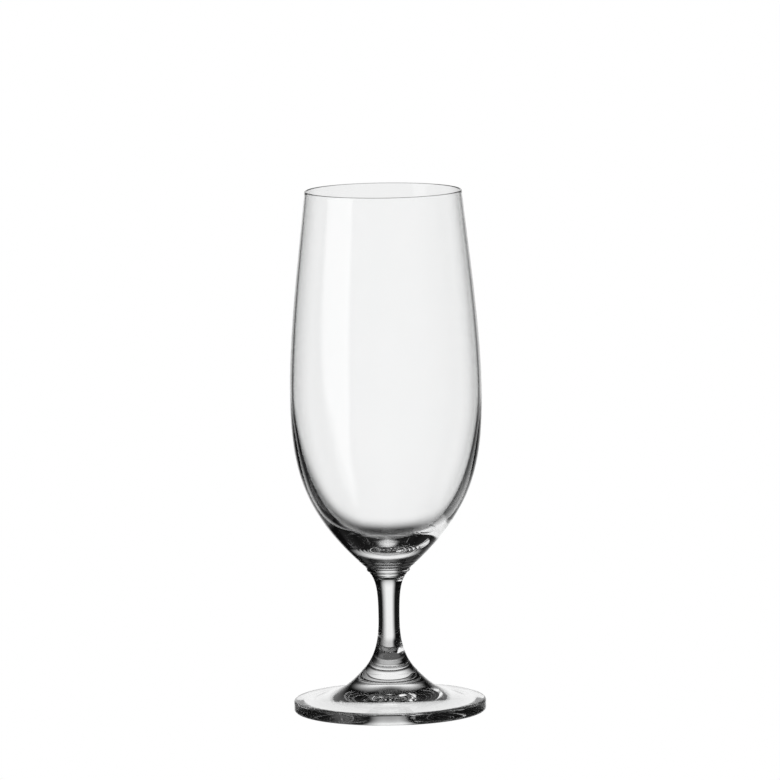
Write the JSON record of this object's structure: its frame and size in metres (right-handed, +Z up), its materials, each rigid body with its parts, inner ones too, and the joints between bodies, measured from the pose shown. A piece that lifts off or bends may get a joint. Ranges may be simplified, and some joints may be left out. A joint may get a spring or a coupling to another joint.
{
  "type": "pilsner glass",
  "caption": "Stemmed pilsner glass in clear glass: a tall tulip bowl with a thick floor, a slim waisted stem and a wide round foot.",
  "frame": {"origin": "middle of the foot, at the level of the flat ring that stands on the table", "axes": "+Z up along the glass's axis from the foot to the rim; the glass is round, so X and Y are any two level directions"},
  "size_m": [0.07, 0.07, 0.1903],
  "materials": {
    "bowl_glass": "fire-polished, thin and colourless",
    "stem_glass": "fire-polished, solid and colourless",
    "foot_glass": "pressed and fire-polished, colourless"
  },
  "bodies": {
    "root": {"bowl": "bowl_glass", "stem": "stem_glass", "foot": "foot_glass"}
  },
  "joints": []
}
